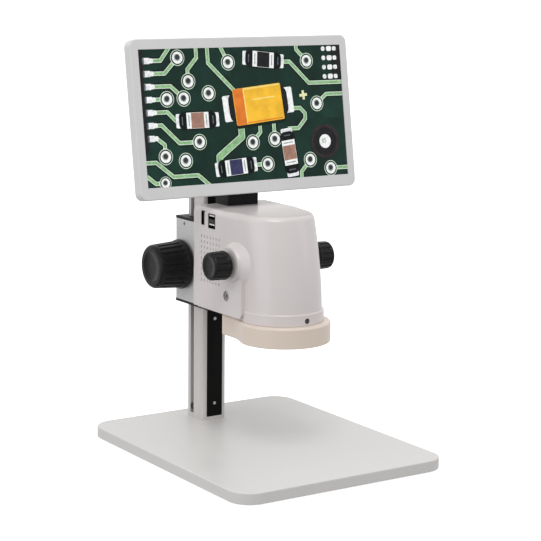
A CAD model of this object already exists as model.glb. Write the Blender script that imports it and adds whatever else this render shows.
import math

import bmesh
import bpy
from mathutils import Matrix, Vector


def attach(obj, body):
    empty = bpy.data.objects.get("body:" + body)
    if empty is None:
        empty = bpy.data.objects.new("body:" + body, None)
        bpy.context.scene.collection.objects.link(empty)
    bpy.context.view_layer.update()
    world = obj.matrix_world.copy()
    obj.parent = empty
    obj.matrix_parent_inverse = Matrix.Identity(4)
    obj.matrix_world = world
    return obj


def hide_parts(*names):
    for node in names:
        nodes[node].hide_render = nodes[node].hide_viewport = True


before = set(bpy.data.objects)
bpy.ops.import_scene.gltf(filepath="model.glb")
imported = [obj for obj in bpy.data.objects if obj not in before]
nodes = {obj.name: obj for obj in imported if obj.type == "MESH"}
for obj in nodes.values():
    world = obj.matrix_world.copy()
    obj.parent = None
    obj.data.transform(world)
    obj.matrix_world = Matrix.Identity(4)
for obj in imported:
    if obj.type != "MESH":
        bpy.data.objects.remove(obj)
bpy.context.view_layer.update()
scene = bpy.context.scene
MM = 0.001  # sizes here are millimetres, unless a comment says metres


# ------------------------------------------------------------------ camera
YAW = math.radians(33.48)
PITCH = math.radians(10.28)
ROLL = math.radians(0.65)
CAMERA_PLACE = (-1.03665, -1.57745, 0.54371)  # metres
FOCAL_LENGTH = 118.72
SENSOR_WIDTH = 36.0
VIEW_RANGE = 200.0  # metres, past the far edge of the floor


def add_camera():
    """Camera in front and to the left of the object, looking down a little."""
    forward = Vector(
        (math.sin(YAW) * math.cos(PITCH), math.cos(YAW) * math.cos(PITCH), -math.sin(PITCH))
    )
    level = Vector((math.cos(YAW), -math.sin(YAW), 0))
    upright = level.cross(forward)
    right = math.cos(ROLL) * level + math.sin(ROLL) * upright
    up = -math.sin(ROLL) * level + math.cos(ROLL) * upright
    data = bpy.data.cameras.new("camera")
    data.sensor_width = SENSOR_WIDTH
    data.lens = FOCAL_LENGTH
    data.clip_end = VIEW_RANGE
    camera = bpy.data.objects.new("camera", data)
    turn = Matrix((right, up, -forward)).transposed().to_4x4()
    camera.matrix_world = Matrix.Translation(CAMERA_PLACE) @ turn
    scene.collection.objects.link(camera)
    scene.camera = camera


add_camera()
scene.view_settings.view_transform = "Standard"


# ----------------------------------------------------------- shapes, shared
def box_of(node):
    """Low and high corners of a CAD node."""
    cad = nodes[node]
    corners = [cad.matrix_world @ vertex.co for vertex in cad.data.vertices]
    low = [min(corner[axis] for corner in corners) / MM for axis in range(3)]
    high = [max(corner[axis] for corner in corners) / MM for axis in range(3)]
    return low, high


def place_mesh(name, mesh, materials):
    """Object in the scene made from a finished bmesh."""
    data = bpy.data.meshes.new(name)
    mesh.to_mesh(data)
    mesh.free()
    for material in materials:
        data.materials.append(material)
    piece = bpy.data.objects.new(name, data)
    scene.collection.objects.link(piece)
    return piece


def box_piece(name, low, high, material, edge):
    """Box between two corners, with small bevels."""
    mesh = bmesh.new()
    bmesh.ops.create_cube(mesh, size=1.0)
    size = [high[axis] - low[axis] for axis in range(3)]
    middle = [(high[axis] + low[axis]) / 2 for axis in range(3)]
    for vertex in mesh.verts:
        vertex.co = Vector(
            [(vertex.co[axis] * size[axis] + middle[axis]) * MM for axis in range(3)]
        )
    bmesh.ops.bevel(mesh, geom=mesh.edges[:], offset=edge * MM, segments=2, affect="EDGES")
    return place_mesh(name, mesh, [material])


# -------------------------------------------------------- materials, shared
BLACK = (0, 0, 0, 1)
WHITE = (1, 1, 1, 1)
NOISE_SPAN = (0.3, 0.7)  # where nearly all of a noise texture's values lie


def linear(*srgb):
    """Linear colour, with full alpha, from 0-255 display values."""
    out = []
    for value in srgb:
        v = value / 255
        out.append(v / 12.92 if v <= 0.04045 else ((v + 0.055) / 1.055) ** 2.4)
    return (*out, 1.0)


def changed(colour, share):
    """The colour made lighter by a share of itself, or darker where the share is negative."""
    return (*[min(1.0, channel * (1 + share)) for channel in colour[:3]], 1)


def new_material(name):
    """Material with its node tree, its shader and the place in the object's own space."""
    material = bpy.data.materials.new(name)
    material.use_nodes = True
    tree = material.node_tree
    place = tree.nodes.new("ShaderNodeTexCoord")
    return material, tree, tree.nodes["Principled BSDF"], place.outputs["Object"]


def noise(tree, place, scale, detail):
    node = tree.nodes.new("ShaderNodeTexNoise")
    node.inputs["Scale"].default_value = scale
    node.inputs["Detail"].default_value = detail
    tree.links.new(place, node.inputs["Vector"])
    return node.outputs["Fac"]


def blend_colours(tree, value, span, colours):
    """The first colour where the value is below the span, the second where it is above."""
    ramp = tree.nodes.new("ShaderNodeValToRGB")
    for element, position, colour in zip(ramp.color_ramp.elements, span, colours):
        element.position = position
        element.color = colour
    tree.links.new(value, ramp.inputs["Fac"])
    return ramp.outputs["Color"]


def remap(tree, value, source, target):
    """The value moved from one range to another."""
    node = tree.nodes.new("ShaderNodeMapRange")
    node.inputs["From Min"].default_value = source[0]
    node.inputs["From Max"].default_value = source[1]
    node.inputs["To Min"].default_value = target[0]
    node.inputs["To Max"].default_value = target[1]
    tree.links.new(value, node.inputs["Value"])
    return node.outputs["Result"]


SPECK_SOFTNESS = 0.08
GRAIN_HEIGHT = 0.0001  # metres


def finish(
    name,
    colour,
    roughness,
    metallic=0.0,
    mottle=0.04,
    mottle_scale=30.0,
    grain_scale=1400.0,
    grain_depth=0.02,
    stretch=(1.0, 1.0, 1.0),
    rough_spread=0.06,
    coat=0.0,
    coat_roughness=0.15,
    specular=0.5,
    dust=None,
):
    """Surface with soft colour variation, uneven gloss and a fine grain, all in object space.

    dust is the colour of fine specks, and the noise level above which they show.
    """
    material, tree, shader, place = new_material(name)
    shader.inputs["Metallic"].default_value = metallic
    shader.inputs["Coat Weight"].default_value = coat
    shader.inputs["Coat Roughness"].default_value = coat_roughness
    shader.inputs["Specular IOR Level"].default_value = specular

    mapping = tree.nodes.new("ShaderNodeMapping")
    mapping.inputs["Scale"].default_value = stretch
    tree.links.new(place, mapping.inputs["Vector"])
    broad = noise(tree, mapping.outputs["Vector"], mottle_scale, 5.0)
    fine = noise(tree, mapping.outputs["Vector"], grain_scale, 3.0)

    tones = (changed(colour, -mottle), changed(colour, mottle))
    surface = blend_colours(tree, broad, NOISE_SPAN, tones)
    if dust:
        dust_colour, dust_level = dust
        dust_span = (dust_level, dust_level + SPECK_SOFTNESS)
        specks = blend_colours(tree, fine, dust_span, (BLACK, WHITE))
        mix = tree.nodes.new("ShaderNodeMix")
        mix.data_type = "RGBA"
        mix.inputs["B"].default_value = dust_colour
        tree.links.new(specks, mix.inputs["Factor"])
        tree.links.new(surface, mix.inputs["A"])
        surface = mix.outputs["Result"]
    tree.links.new(surface, shader.inputs["Base Color"])

    gloss_span = (max(0.02, roughness - rough_spread), min(1.0, roughness + rough_spread))
    gloss = remap(tree, broad, NOISE_SPAN, gloss_span)
    tree.links.new(gloss, shader.inputs["Roughness"])

    bump = tree.nodes.new("ShaderNodeBump")
    bump.inputs["Strength"].default_value = grain_depth * 10
    bump.inputs["Distance"].default_value = GRAIN_HEIGHT
    tree.links.new(fine, bump.inputs["Height"])
    tree.links.new(bump.outputs["Normal"], shader.inputs["Normal"])
    return material


def glass(name, tint, roughness):
    """Clear glass with a slightly uneven polish."""
    material, tree, shader, place = new_material(name)
    shader.inputs["Base Color"].default_value = tint
    shader.inputs["Transmission Weight"].default_value = 1.0
    shader.inputs["IOR"].default_value = 1.5
    gloss = remap(tree, noise(tree, place, 60.0, 2.0), (0.0, 1.0), (roughness, roughness + 0.05))
    tree.links.new(gloss, shader.inputs["Roughness"])
    return material


def display(name, colour, spread, scale):
    """Part of the lit picture: gives its own light, a little uneven, under a matt film."""
    material, tree, shader, place = new_material(name)
    shader.inputs["Roughness"].default_value = 0.35
    shader.inputs["Specular IOR Level"].default_value = 0.08
    shader.inputs["Base Color"].default_value = (0.01, 0.01, 0.01, 1)
    tones = (changed(colour, -spread), changed(colour, spread))
    light = blend_colours(tree, noise(tree, place, scale, 3.0), (0.35, 0.65), tones)
    tree.links.new(light, shader.inputs["Emission Color"])
    shader.inputs["Emission Strength"].default_value = 1.0
    return material


def dress(node, material):
    """Gives a CAD node its material."""
    slots = nodes[node].data.materials
    slots.clear()
    slots.append(material)


# ----------------------------------------------------------------- finishes
base_paint = finish(
    "base_paint", linear(209, 207, 205), 0.42, mottle=0.012, grain_scale=900, grain_depth=0.05,
    dust=(linear(184, 181, 178), 0.66),
)
shell_white = finish(
    "shell_white", linear(211, 205, 204), 0.34, mottle=0.004, grain_scale=2600, grain_depth=0.006,
    rough_spread=0.015, coat=0.35, coat_roughness=0.18,
)
block_paint = finish(
    "block_paint", linear(206, 206, 206), 0.4, mottle=0.012, grain_scale=1100, grain_depth=0.04
)
column_silver = finish(
    "column_silver", linear(207, 204, 202), 0.38, metallic=0.25, mottle=0.025, mottle_scale=220,
    grain_scale=900, grain_depth=0.03, stretch=(1.0, 1.0, 0.03),
)
strip_black = finish(
    "strip_black", linear(12, 12, 12), 0.42, mottle=0.25, mottle_scale=160, grain_depth=0.03,
    stretch=(1.0, 1.0, 0.05), specular=0.1,
)
plate_black = finish(
    "plate_black", linear(20, 20, 21), 0.45, mottle=0.15, mottle_scale=120, grain_scale=1600,
    grain_depth=0.06, specular=0.2,
)
bracket_black = finish(
    "bracket_black", linear(21, 21, 22), 0.48, mottle=0.12, grain_scale=1500, grain_depth=0.08,
    specular=0.18,
)
knob_black = finish(
    "knob_black", linear(27, 27, 27), 0.24, mottle=0.15, mottle_scale=140, grain_scale=1900,
    grain_depth=0.02, rough_spread=0.04, specular=0.16, coat=0.05, coat_roughness=0.1,
)
screw_black = finish(
    "screw_black", linear(24, 24, 25), 0.3, metallic=0.3, mottle=0.2, mottle_scale=300,
    specular=0.3,
)
rubber = finish("rubber", linear(40, 40, 40), 0.8, mottle=0.2, grain_depth=0.12)
ring_cream = finish(
    "ring_cream", linear(218, 203, 190), 0.36, mottle=0.012, grain_scale=2000, grain_depth=0.015,
    coat=0.15,
)
screen_shell = finish(
    "screen_shell", linear(212, 212, 212), 0.42, mottle=0.01, grain_scale=2600, grain_depth=0.04
)
bare_steel = finish(
    "bare_steel", linear(196, 196, 198), 0.28, metallic=1.0, mottle=0.06, mottle_scale=300,
    grain_depth=0.02,
)
dark_steel = finish(
    "dark_steel", linear(96, 96, 100), 0.32, metallic=1.0, mottle=0.08, mottle_scale=260
)
socket_steel = finish(
    "socket_steel", linear(52, 52, 54), 0.35, metallic=0.8, mottle=0.2, mottle_scale=400
)
screw_bright = finish(
    "screw_bright", linear(150, 150, 152), 0.13, metallic=1.0, mottle=0.1, mottle_scale=500,
    rough_spread=0.05,
)
brass = finish("brass", linear(196, 160, 92), 0.32, metallic=1.0, mottle=0.06)
acetal = finish("acetal", linear(232, 230, 224), 0.45, mottle=0.02)
aluminium = finish(
    "aluminium", linear(188, 189, 192), 0.38, metallic=1.0, mottle=0.05, mottle_scale=200,
    stretch=(1.0, 0.1, 1.0),
)
barrel_black = finish("barrel_black", linear(28, 28, 30), 0.4, metallic=0.4, mottle=0.1)
board_green = finish(
    "board_green", linear(28, 84, 58), 0.4, mottle=0.15, mottle_scale=420, coat=0.3
)
plastic_black = finish("plastic_black", linear(26, 26, 27), 0.5, mottle=0.15, grain_depth=0.05)
led_yellow = finish("led_yellow", linear(238, 220, 120), 0.35, mottle=0.05)
sensor_dark = finish("sensor_dark", linear(40, 34, 52), 0.12, mottle=0.2, coat=0.8)
panel_black = finish("panel_black", linear(14, 14, 15), 0.25, mottle=0.2)
diffuser_white = finish("diffuser_white", linear(236, 236, 232), 0.5, mottle=0.01, coat=0.1)
lens_glass = glass("lens_glass", (0.92, 0.97, 0.95, 1), 0.02)
tongue_white = finish("tongue_white", linear(226, 226, 222), 0.45, mottle=0.02)
dust_felt = finish(
    "dust_felt", linear(46, 46, 47), 0.95, mottle=0.3, grain_depth=0.2, specular=0.1
)

FINISHES = {
    base_paint: ("base_plate",),
    rubber: ("rubber_feet",),
    block_paint: ("focus_block",),
    shell_white: ("head_shell", "head_base"),
    column_silver: ("column", "column_foot"),
    strip_black: ("rail_strip",),
    plate_black: ("block_top_plate", "block_bottom_plate", "column_cap", "screen_mount"),
    screw_black: ("stop_pins", "plate_screws", "pad_screws"),
    bracket_black: ("screen_bracket",),
    knob_black: ("focus_knob_right", "focus_knob_left", "zoom_knob_right", "zoom_knob_left"),
    ring_cream: ("ring_light_housing",),
    screen_shell: ("screen_bezel", "screen_back_shell"),
    bare_steel: (
        "rail_screws", "foot_bolts", "head_screws", "frame_bolts", "bracket_screws",
        "mount_screws", "zoom_shaft", "pinion_shaft", "gear_rack", "hinge_washers",
    ),
    dark_steel: (
        "collar_screw", "knob_grub_screws", "casing_screws", "hinge_pin", "hinge_nut",
    ),
    socket_steel: ("usb_socket", "hdmi_socket"),
    screw_bright: ("side_screws",),
    brass: ("shaft_bushes", "zoom_bushes"),
    acetal: ("guide_pads",),
    aluminium: ("optical_frame", "screen_chassis"),
    barrel_black: ("lens_barrel", "zoom_cell"),
    board_green: ("main_board", "camera_board", "screen_board", "ring_light_board"),
    plastic_black: ("power_jack",),
    led_yellow: ("ring_light_leds",),
    sensor_dark: ("image_sensor",),
    panel_black: ("lcd_panel",),
    diffuser_white: ("ring_light_diffuser",),
    lens_glass: ("objective_lens", "relay_lens", "zoom_lens"),
}
for material, names in FINISHES.items():
    for node_name in names:
        dress(node_name, material)


# ------------------------------------------------------------------- knobs
FLANGE_SHARE = 0.1  # of the knob's length
FLANGE_ROUND = 1.2
FILLET_LENGTH = 1.4  # from the flange down to the grip
LIP_WIDTH = 0.9  # round edge of the hollow end
DISH_POWER = 4  # how flat the middle of the hollow end is
SAMPLES_PER_RIB = 12
GROOVE_FLOOR = 0.12  # half widths of a groove, as shares of the ribs' pitch
GROOVE_EDGE = 0.29
SHARPEST_SMOOTH = math.radians(40)


def smooth_step(low, high, value):
    """Goes from 0 to 1 while the value goes from low to high, with soft ends."""
    t = min(1.0, max(0.0, (value - low) / (high - low)))
    return t * t * (3 - 2 * t)


def steps(count):
    """Even steps after 0 and up to 1."""
    return [n / count for n in range(1, count + 1)]


def grip_ends(sizes):
    """Where the grooved grip starts and stops, above the knob's face."""
    shoulder_height = sizes["shoulder"][0]
    start = sizes["length"] * FLANGE_SHARE + FILLET_LENGTH
    return start, sizes["length"] - shoulder_height


def knob_profile(sizes):
    """Outline of a knob as (height above its face, radius), from the bore round to the tip."""
    length, bore, floor_at = sizes["length"], sizes["bore"], sizes["floor_at"]
    spacer_length, spacer_radius = sizes["spacer"]
    flange, root, tip = sizes["radii"]
    shoulder_height, shoulder_depth = sizes["shoulder"]
    dish_radius, dish_depth = sizes["dish"]
    flange_top = length * FLANGE_SHARE
    start, stop = grip_ends(sizes)

    # Bore and spacer
    points = [(floor_at, 0.0), (floor_at, bore), (-spacer_length, bore)]
    points += [(-spacer_length, spacer_radius), (0.0, spacer_radius)]

    # Flange: a round edge at the face, a small chamfer, then a fillet down to the grip
    points.append((0.0, flange - FLANGE_ROUND))
    for t in steps(5):
        turn = math.pi / 2 * t
        inward = FLANGE_ROUND * (1 - math.sin(turn))
        points.append((FLANGE_ROUND * (1 - math.cos(turn)), flange - inward))
    points += [(flange_top - 0.5, flange), (flange_top - 0.1, flange - 0.15)]
    points += [(flange_top + 0.8, root + 0.25), (start, root)]

    # Tapered grip and round shoulder
    for t in steps(18):
        points.append((start + (stop - start) * t, root + (tip - root) * t))
    for t in steps(12):
        turn = math.pi / 2 * t
        inward = shoulder_depth * (1 - math.cos(turn))
        points.append((stop + shoulder_height * math.sin(turn), tip - inward))

    # Flat rim, a lip that curves inward, and the hollow end
    lip_edge = dish_radius + LIP_WIDTH
    slope = DISH_POWER * dish_depth / dish_radius  # of the hollow, where it meets the lip
    points.append((length, lip_edge + 0.4))
    for t in steps(4):
        points.append((length - slope * LIP_WIDTH * t * t / 2, lip_edge - LIP_WIDTH * t))
    dish_edge = length - slope * LIP_WIDTH / 2
    for t in steps(12):
        drop = dish_depth * (1 - (1 - t) ** DISH_POWER)
        points.append((dish_edge - drop, dish_radius * (1 - t)))
    return points


def groove_depth(sizes, height):
    """Depth of the grooves at a height: full along the grip, and nothing past its ends."""
    start, stop = grip_ends(sizes)
    rise = smooth_step(start - 0.4, start + 1.4, height)
    return sizes["groove"] * rise * (1 - smooth_step(stop - 1.4, stop + 1.0, height))


def knob(node, body, sizes):
    """Moulded knob with grooves down its taper, a round shoulder and a hollow end."""
    low, high = box_of(node)
    side = 1 if low[0] + high[0] > 0 else -1
    tip_x = high[0] if side > 0 else low[0]
    centre_y = (low[1] + high[1]) / 2
    centre_z = (low[2] + high[2]) / 2
    around = sizes["ribs"] * SAMPLES_PER_RIB
    mesh = bmesh.new()
    rings = []
    for height, radius in knob_profile(sizes):
        x = tip_x - side * (sizes["length"] - height)
        if radius == 0:
            rings.append([mesh.verts.new((x * MM, centre_y * MM, centre_z * MM))])
            continue
        depth = groove_depth(sizes, height) if radius > sizes["bore"] else 0.0
        ring = []
        for n in range(around):
            from_groove = abs((n / SAMPLES_PER_RIB) % 1.0 - 0.5)
            r = radius - depth * (1 - smooth_step(GROOVE_FLOOR, GROOVE_EDGE, from_groove))
            turn = 2 * math.pi * n / around
            y = centre_y + r * math.cos(turn)
            z = centre_z + r * math.sin(turn)
            ring.append(mesh.verts.new((x * MM, y * MM, z * MM)))
        rings.append(ring)
    for first, second in zip(rings, rings[1:]):
        for n in range(around):
            after = (n + 1) % around
            if len(first) == 1:
                mesh.faces.new((first[0], second[after], second[n]))
            elif len(second) == 1:
                mesh.faces.new((first[n], first[after], second[0]))
            else:
                mesh.faces.new((first[n], first[after], second[after], second[n]))
    bmesh.ops.recalc_face_normals(mesh, faces=mesh.faces[:])
    piece = place_mesh(node + "_moulding", mesh, [knob_black])
    piece.data.polygons.foreach_set("use_smooth", [True] * len(piece.data.polygons))
    piece.data.set_sharp_from_angle(angle=SHARPEST_SMOOTH)
    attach(piece, body)
    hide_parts(node)


# Radii are those of the flange, of the grip beside it and of the grip's far end. The spacer is
# (length, radius), the shoulder (height, depth) and the dish (radius, depth).
FOCUS_KNOB = {
    "length": 39.0, "bore": 3.1, "floor_at": 33.0, "spacer": (2.9, 11.0),
    "radii": (28.0, 26.6, 24.6), "shoulder": (4.6, 3.9), "dish": (16.2, 2.0),
    "ribs": 22, "groove": 1.3,
}
ZOOM_KNOB = {
    "length": 20.7, "bore": 2.6, "floor_at": 16.5, "spacer": (3.4, 9.0),
    "radii": (14.7, 15.3, 14.9), "shoulder": (2.6, 2.4), "dish": (10.4, 0.9),
    "ribs": 14, "groove": 1.25,
}
for which in ("left", "right"):
    knob(f"focus_knob_{which}", "focus_knobs", FOCUS_KNOB)
    knob(f"zoom_knob_{which}", "zoom_knobs", ZOOM_KNOB)


# ------------------------------------------------------------- small pieces
# Tongue in each of the two USB openings
OPENING_STEP = 4.8  # from the socket's middle to each opening's
TONGUE_INSET = 0.5  # behind the socket's face
TONGUE_LENGTH = 10.0
TONGUE_HALF_WIDTH = 5.2
TONGUE_RISE = 0.35  # above the opening's middle
TONGUE_THICKNESS = 1.6
socket_low, socket_high = box_of("usb_socket")
tongue_x = socket_low[0] + TONGUE_INSET
tongue_y = (socket_low[1] + socket_high[1]) / 2
socket_z = (socket_low[2] + socket_high[2]) / 2
for number, step in ((1, OPENING_STEP), (2, -OPENING_STEP)):
    tongue_z = socket_z + step + TONGUE_RISE
    tongue = box_piece(
        f"usb_tongue_{number}",
        (tongue_x, tongue_y - TONGUE_HALF_WIDTH, tongue_z),
        (tongue_x + TONGUE_LENGTH, tongue_y + TONGUE_HALF_WIDTH, tongue_z + TONGUE_THICKNESS),
        tongue_white,
        edge=0.15,
    )
    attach(tongue, "carriage")

# Lower end of the black strip, laid over the front of the column's foot
STRIP_PROUD = 0.15  # in front of the foot
STRIP_SUNK = 0.6  # into the foot
STRIP_LAP = 0.3  # up behind the strip itself
STRIP_GAP = 3.6  # above the base
strip_low, strip_high = box_of("rail_strip")
foot_front = box_of("column_foot")[0][1]
base_top = box_of("base_plate")[1][2]
strip_end = box_piece(
    "strip_end",
    (strip_low[0], foot_front - STRIP_PROUD, base_top + STRIP_GAP),
    (strip_high[0], foot_front + STRIP_SUNK, strip_low[2] + STRIP_LAP),
    strip_black,
    edge=0.1,
)
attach(strip_end, "stand")

# Dust screen inside the head, behind the vents
DUST_SCREEN_DEPTH = 3.5  # behind the sockets' faces
DUST_SCREEN_THICKNESS = 0.7
DUST_SCREEN_Y = (15.0, 56.0)
DUST_SCREEN_Z = (184.0, 239.0)
dust_x = socket_low[0] + DUST_SCREEN_DEPTH
dust_screen = box_piece(
    "dust_screen",
    (dust_x, DUST_SCREEN_Y[0], DUST_SCREEN_Z[0]),
    (dust_x + DUST_SCREEN_THICKNESS, DUST_SCREEN_Y[1], DUST_SCREEN_Z[1]),
    dust_felt,
    edge=0.2,
)
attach(dust_screen, "carriage")


# ---------------------------------------------------- picture on the screen
TILT = math.radians(8.72)  # the screen leans back
PICTURE_CENTRE = Vector((0, 40.1, 366.2)) * MM
PICTURE_WIDTH = 256.3
PICTURE_HEIGHT = 144.2
HALF_U, HALF_V = PICTURE_WIDTH / 2, PICTURE_HEIGHT / 2
ACROSS = Vector((1, 0, 0))
UPWARD = Vector((0, math.sin(TILT), math.cos(TILT)))
OUTWARD = Vector((0, -math.cos(TILT), math.sin(TILT)))

# Display colour of each part of the picture, how uneven it is, and at what scale
LIGHTS = {
    "board": ((13, 43, 35), 0.25, 40),
    "plane": ((16, 50, 41), 0.2, 50),
    "gap": ((8, 25, 21), 0.2, 90),
    "rim": ((206, 226, 204), 0.15, 320),
    "track": ((140, 182, 134), 0.2, 240),
    "ring": ((240, 244, 242), 0.12, 400),
    "copper": ((150, 158, 152), 0.25, 400),
    "hole": ((52, 56, 58), 0.3, 400),
    "solder": ((232, 234, 236), 0.2, 200),
    "shade": ((92, 98, 102), 0.3, 200),
    "amber": ((240, 186, 52), 0.1, 90),
    "amber_pale": ((246, 214, 120), 0.1, 160),
    "orange": ((224, 122, 44), 0.12, 120),
    "chip": ((26, 26, 30), 0.3, 160),
    "blue": ((54, 56, 92), 0.2, 160),
    "brown": ((160, 122, 106), 0.15, 160),
    "maroon": ((46, 38, 42), 0.25, 120),
    "print": ((224, 226, 178), 0.08, 200),
}
lit = {
    name: display(f"lit_{name}", linear(*colour), spread, scale)
    for name, (colour, spread, scale) in LIGHTS.items()
}

# Layers from the panel outward
LAYERS = (
    "board", "plane", "gap", "rim", "track", "halo", "moat", "ring", "copper", "hole", "shadow",
    "leg", "body", "cap", "shine",
)
FIRST_LAYER = 0.02
LAYER_STEP = 0.045


def on_screen(u, v, w):
    """Point at u, v on the picture and w in front of it."""
    return PICTURE_CENTRE + (ACROSS * u + UPWARD * v + OUTWARD * w) * MM


def edges_of(outline):
    """Each point of a closed outline with the next."""
    return zip(outline, outline[1:] + outline[:1])


class Sheet:
    """Thin flat shapes laid on the picture, all in one mesh."""

    def __init__(self, name):
        self.name = name
        self.mesh = bmesh.new()
        self.materials = []

    def slab(self, outline, base, top, material):
        """Closed slab over a polygon of (u, v) points."""
        if material not in self.materials:
            self.materials.append(material)
        area = sum(u0 * v1 - u1 * v0 for (u0, v0), (u1, v1) in edges_of(outline))
        if area < 0:
            outline = outline[::-1]
        low = [self.mesh.verts.new(on_screen(u, v, base)) for u, v in outline]
        high = [self.mesh.verts.new(on_screen(u, v, top)) for u, v in outline]
        faces = [self.mesh.faces.new(high), self.mesh.faces.new(low[::-1])]
        for (low_here, low_after), (high_here, high_after) in zip(edges_of(low), edges_of(high)):
            faces.append(self.mesh.faces.new((low_here, low_after, high_after, high_here)))
        for face in faces:
            face.material_index = self.materials.index(material)

    def build(self):
        """Object of all the slabs, fixed to the screen."""
        bmesh.ops.recalc_face_normals(self.mesh, faces=self.mesh.faces[:])
        piece = place_mesh(self.name, self.mesh, self.materials)
        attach(piece, "screen")


picture = Sheet("screen_picture")


def clip_to_picture(outline):
    """The part of a convex outline that lies on the picture."""
    for axis, limit in ((0, HALF_U), (1, HALF_V)):
        for sign in (1, -1):
            kept = []
            for here, after in edges_of(outline):
                inside = sign * here[axis] <= limit
                if inside:
                    kept.append(here)
                if inside != (sign * after[axis] <= limit):
                    t = (sign * limit - here[axis]) / (after[axis] - here[axis])
                    kept.append(tuple(here[i] + t * (after[i] - here[i]) for i in range(2)))
            outline = kept
    return outline


def laid(outline, layer, light):
    """Shape on the picture, cut off at its edge; later layers cover earlier ones."""
    outline = clip_to_picture(outline)
    if len(outline) > 2:
        base = FIRST_LAYER + LAYERS.index(layer) * LAYER_STEP
        picture.slab(outline, base, base + LAYER_STEP, lit[light])


def turned(points, u, v, angle):
    """Points turned about their own origin, which then goes to u, v."""
    c, s = math.cos(math.radians(angle)), math.sin(math.radians(angle))
    return [(u + x * c - y * s, v + x * s + y * c) for x, y in points]


def disc(u, v, radius, sides):
    turns = [2 * math.pi * n / sides for n in range(sides)]
    return [(u + radius * math.cos(turn), v + radius * math.sin(turn)) for turn in turns]


def turned_box(u, v, width, height, angle=0.0):
    x, y = width / 2, height / 2
    return turned([(-x, -y), (x, -y), (x, y), (-x, y)], u, v, angle)


def pill(u, v, length, width, angle, corner):
    """Rectangle with round corners, turned by angle."""
    corner_steps = 6
    points = []
    for quarter, (side, end) in enumerate(((1, 1), (-1, 1), (-1, -1), (1, -1))):
        for n in range(corner_steps + 1):
            turn = math.pi / 2 * (quarter + n / corner_steps)
            x = side * (length / 2 - corner) + corner * math.cos(turn)
            y = end * (width / 2 - corner) + corner * math.sin(turn)
            points.append((x, y))
    return turned(points, u, v, angle)


def run(points, width, layer, light):
    """Band through points, one slab for each straight run, with round joints."""
    for (u0, v0), (u1, v1) in zip(points, points[1:]):
        length = math.hypot(u1 - u0, v1 - v0)
        nu, nv = -(v1 - v0) / length * width / 2, (u1 - u0) / length * width / 2
        corners = [(u0 + nu, v0 + nv), (u0 - nu, v0 - nv), (u1 - nu, v1 - nv), (u1 + nu, v1 + nv)]
        laid(corners, layer, light)
    for u, v in points[1:-1]:
        laid(disc(u, v, width / 2, 16), layer, light)


TRACK_WIDTH = 4.4
MASK_GAP = 1.5  # dark edge on each side of a track
RIM_WIDTH = 0.75
VIA_SIZE = 1.1


def track(points, width=TRACK_WIDTH):
    """Copper track under the green mask, pale along its two edges."""
    run(points, width + 2 * MASK_GAP, "gap", "gap")
    run(points, width, "rim", "rim")
    run(points, width - 2 * RIM_WIDTH, "track", "track")


def via(u, v, size=VIA_SIZE):
    """Plated hole: a fine bright outline, a dark moat, a bright ring and a grey hole."""
    laid(disc(u, v, 7.8 * size, 32), "halo", "rim")
    laid(disc(u, v, 7.1 * size, 32), "moat", "gap")
    laid(disc(u, v, 5.8 * size, 32), "ring", "ring")
    laid(disc(u - 0.4 * size, v + 0.3 * size, 3.4 * size, 26), "copper", "copper")
    laid(disc(u - 0.2 * size, v + 0.5 * size, 2.5 * size, 22), "hole", "hole")


def track_to_via(points, size=VIA_SIZE):
    """Track that ends in a plated hole, with a wedge where they join."""
    track(points)
    (u0, v0), (u1, v1) = points[-2:]
    length = math.hypot(u1 - u0, v1 - v0)
    du, dv = (u1 - u0) / length, (v1 - v0) / length
    reach = 6.0 * size
    lap = 2.5
    half = TRACK_WIDTH / 2
    u2, v2 = u1 + du * reach, v1 + dv * reach
    wedge = [
        (u1 - du * lap - dv * half, v1 - dv * lap + du * half),
        (u1 - du * lap + dv * half, v1 - dv * lap - du * half),
        (u2 + dv * reach, v2 - du * reach),
        (u2 - dv * reach, v2 + du * reach),
    ]
    laid(wedge, "halo", "rim")
    via(u2, v2, size)


def resistor(u, v, angle, body):
    """Small part: a flat body, two pale bands and a rounded cap of solder at each end."""
    length, width = 44.0, 17.5
    laid(pill(u, v, length + 9, width * 0.86, angle, 1.5), "shadow", "solder")
    laid(pill(u, v, length + 2, width + 2.4, angle, 6.5), "leg", "gap")
    laid(pill(u, v, length, width, angle, 6.0), "leg", "chip")
    laid(turned_box(u, v, length * 0.62, width - 0.6, angle), "body", "ring")
    laid(turned_box(u, v, length * 0.36, width - 1.2, angle), "cap", body)
    for side in (-1, 1):
        mark, band = turned([(side * length * 0.43, 0), (side * length * 0.245, 0)], u, v, angle)
        laid(pill(*mark, 1.3, width * 0.5, angle, 0.6), "cap", "shade")
        laid(pill(*band, 1.2, width * 0.7, angle, 0.5), "shine", "copper")


def capacitor(u, v, angle):
    """Tantalum capacitor: an amber body with an orange end, pale edges and bright ends."""
    laid(pill(u, v, 90, 28, angle, 2.0), "shadow", "solder")
    laid(pill(u, v, 76, 33, angle, 9.0), "leg", "chip")
    laid(pill(u + 1, v - 2.6, 63, 41, angle, 2.0), "leg", "gap")
    laid(pill(u, v, 62, 39.5, angle, 1.6), "body", "amber")
    laid(turned_box(u - 23.7, v - 2.1, 13.0, 39.0, angle), "cap", "orange")
    laid(turned_box(u - 17.2, v - 1.5, 1.4, 38.0, angle), "shine", "amber_pale")
    laid(turned_box(u + 4.5, v + 18.9, 46.0, 1.8, angle), "shine", "amber_pale")
    laid(turned_box(u + 7.6, v - 17.4, 46.0, 1.3, angle), "shine", "orange")
    laid(turned_box(u + 6.4, v + 6.6, 30.0, 1.6, angle), "cap", "amber_pale")
    for side in (-1, 1):
        laid(pill(u + side * 42.0, v + side * 3.7, 5.0, 27, angle, 1.2), "body", "ring")


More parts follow.
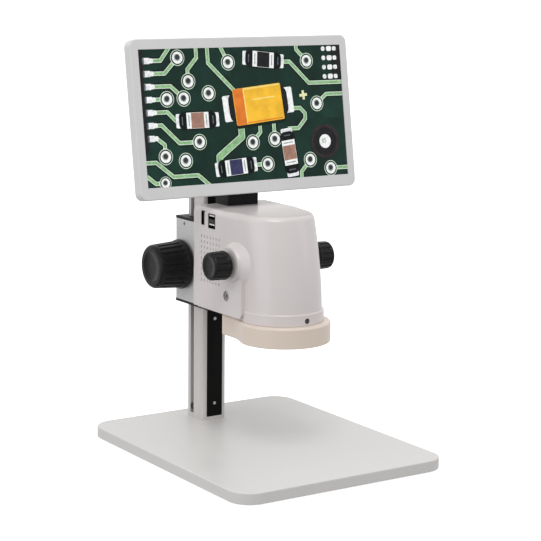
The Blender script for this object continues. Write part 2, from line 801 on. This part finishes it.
# Board, and copper areas under the mask
laid([(-HALF_U, -HALF_V), (HALF_U, -HALF_V), (HALF_U, HALF_V), (-HALF_U, HALF_V)], "board", "board")
laid([(-128, -20), (-96, -20), (-80, -36), (-80, -72), (-128, -72)], "plane", "plane")
laid([(60, 16), (128, 16), (128, -8), (84, -8), (60, 4)], "plane", "plane")
laid([(-48, 72), (-16, 72), (-16, 40), (-48, 52)], "plane", "plane")

# Chip at the left edge, with a row of bright legs and a track from each
LEG_LEVELS = [60 - 13.5 * n for n in range(7)]
laid(turned_box(-126.5, 18, 6.0, 108), "leg", "chip")
for level in LEG_LEVELS:
    laid(pill(-119.5, level, 9.0, 6.4, 0, 1.2), "leg", "solder")
    laid(turned_box(-123.0, level, 2.2, 6.0), "cap", "shade")
    laid(pill(-113.5, level, 5.0, 5.0, 0, 1.8), "body", "ring")
leg_ends = [(-113, level) for level in LEG_LEVELS]
track([leg_ends[0], (-102, 60), (-90, 74)])
track_to_via([leg_ends[1], (-98, 46.5), (-86, 58)])
track_to_via([leg_ends[2], (-92, 33), (-82, 24)])
track_to_via([leg_ends[3], (-104, 19.5)])
track([leg_ends[4], (-98, 6), (-88, -4), (-80, -4)])
track_to_via([leg_ends[5], (-106, -7.5), (-86, -27), (-68, -27)])
track_to_via([leg_ends[6], (-104, -28), (-104, -34)])

# Lower left: tracks that come in from the edge
track([(-128, -46), (-116, -46), (-96, -62), (-66, -62), (-52, -74)])
track_to_via([(-128, -60), (-118, -68), (-112, -68)], size=0.9)

# Along the top
track_to_via([(-58, 74), (-58, 62), (-70, 50), (-70, 44)])
track([(-44, 74), (-44, 56), (-14, 26)])
track_to_via([(-28, 74), (-22, 62)])
track_to_via([(70, 74), (70, 68), (78, 60)])
track([(48, 55), (60, 55), (84, 31), (128, 31)])
track_to_via([(128, 18), (106, 18), (98, 12)])

# Middle and right
track([(-8, -8), (-8, -24), (-38, -44), (-38, -50)], width=8.0)
track_to_via([(16, -6), (16, -20), (10, -26)])
track_to_via([(34, -4), (34, -22)])
track([(58, 4), (70, 4), (76, -2), (76, -8), (66, -18), (52, -18)])
track_to_via([(4, -55), (16, -55)])
track_to_via([(66, -74), (66, -66), (74, -58)])
track_to_via([(128, -64), (112, -64)])
via(-46, 24)
via(-80, -46)

# Parts on the board
capacitor(16, 10, 5.0)
resistor(-62, -4, 0, "brown")
resistor(26, 58, -6, "chip")
resistor(52, -44, -84, "brown")
resistor(-18, -56, 4, "blue")

# Round pad with a bright middle
laid(disc(100, -34, 19.0, 52), "body", "maroon")
laid(disc(100, -34, 15.5, 48), "cap", "chip")
laid(disc(100, -34, 7.6, 36), "shine", "ring")
laid(disc(98.6, -33.4, 3.0, 24), "shine", "copper")

# Chip in the upper right corner, with rows of bright legs
laid(turned_box(123, 54, 14, 40), "body", "chip")
for level in [68 - 10.2 * n for n in range(4)]:
    laid(pill(113.5, level, 7.0, 5.4, 0, 2.0), "body", "ring")
    laid(pill(105.5, level, 5.0, 5.0, 0, 2.2), "body", "solder")
    laid(pill(120.5, level, 5.0, 4.6, 0, 1.4), "cap", "solder")

# Printed cross
laid(turned_box(75, 18, 10.0, 3.0, 6), "shine", "print")
laid(turned_box(75, 18, 3.0, 10.0, 6), "shine", "print")

picture.build()


# --------------------------------------------------------- floor and lights
FLOOR_SIZE = 120.0  # metres
FLOOR_GLOW = 0.5
AIM = Vector((0, 0, 0.24))  # middle of the object, in metres


def add_floor():
    """Pale floor under the object, hidden from bounced light so that it lights nothing."""
    paint = finish(
        "floor_pale", (0.95, 0.95, 0.95, 1), 0.9, mottle=0.004, grain_depth=0.0, specular=0.1
    )
    shader = paint.node_tree.nodes["Principled BSDF"]
    shader.inputs["Emission Color"].default_value = WHITE
    shader.inputs["Emission Strength"].default_value = FLOOR_GLOW
    mesh = bmesh.new()
    half = FLOOR_SIZE / 2
    corners = ((-half, -half), (half, -half), (half, half), (-half, half))
    mesh.faces.new([mesh.verts.new((x, y, 0.0)) for x, y in corners])
    floor = place_mesh("floor", mesh, [paint])
    floor.visible_diffuse = False
    floor.visible_glossy = False


def area_light(name, place, size, power):
    """Square lamp aimed at the object, with its place and size in metres."""
    data = bpy.data.lights.new(name, "AREA")
    data.size = size
    data.energy = power
    lamp = bpy.data.objects.new(name, data)
    lamp.location = place
    lamp.rotation_euler = (AIM - Vector(place)).to_track_quat("-Z", "Y").to_euler()
    scene.collection.objects.link(lamp)


def studio(darkest, brightest):
    """Surroundings that are dark on the camera's side and bright behind and above the object."""
    world = bpy.data.worlds.new("world")
    world.use_nodes = True
    tree = world.node_tree
    place = tree.nodes.new("ShaderNodeTexCoord")
    facing = tree.nodes.new("ShaderNodeVectorMath")
    facing.operation = "DOT_PRODUCT"
    facing.inputs[1].default_value = Vector((math.sin(YAW), math.cos(YAW), 0.9)).normalized()
    tree.links.new(place.outputs["Generated"], facing.inputs[0])
    background = tree.nodes["Background"]
    amount = remap(tree, facing.outputs["Value"], (-0.7, 0.9), (darkest, brightest))
    tree.links.new(amount, background.inputs["Strength"])
    background.inputs["Color"].default_value = WHITE
    scene.world = world


add_floor()
area_light("key", (-0.7, -1.25, 2.2), 1.0, 20.0)
area_light("fill", (1.6, -1.3, 0.8), 0.8, 1.5)
area_light("left", (-2.3, -0.3, 0.7), 2.0, 13.0)
studio(darkest=0.46, brightest=1.0)
